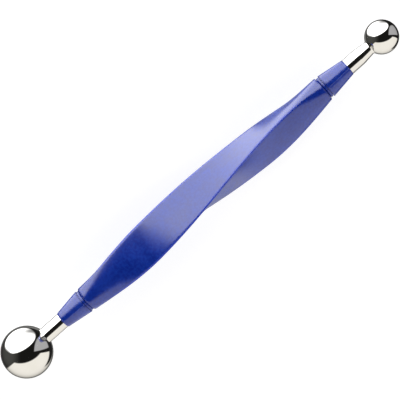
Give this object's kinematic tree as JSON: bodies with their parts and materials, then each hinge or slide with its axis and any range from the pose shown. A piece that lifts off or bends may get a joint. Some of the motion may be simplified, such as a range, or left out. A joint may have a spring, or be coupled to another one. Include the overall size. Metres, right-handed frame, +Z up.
{
  "type": "embossing stylus",
  "caption": "Double-ended ball stylus: twisted three-sided plastic grip with tapered collars, a large and a small polished steel ball on short stems, for embossing and modelling.",
  "frame": {"origin": "on the tool's long axis, halfway along its overall length", "axes": "+X along the tool towards the small ball, +Z up as it lies at rest on a table, +Y completes the frame; the picture looks down on it from about 13 degrees off +Z, towards +Y"},
  "size_m": [0.1652, 0.017, 0.017],
  "materials": {
    "blue_plastic": "satin moulded plastic",
    "polished_stem_steel": "bright polished",
    "polished_ball_steel": "mirror polished"
  },
  "bodies": {
    "root": {"twisted_grip": "blue_plastic", "large_end_collar": "blue_plastic", "small_end_collar": "blue_plastic", "large_end_stem": "polished_stem_steel", "small_end_stem": "polished_stem_steel", "large_ball": "polished_ball_steel", "small_ball": "polished_ball_steel"}
  },
  "joints": []
}
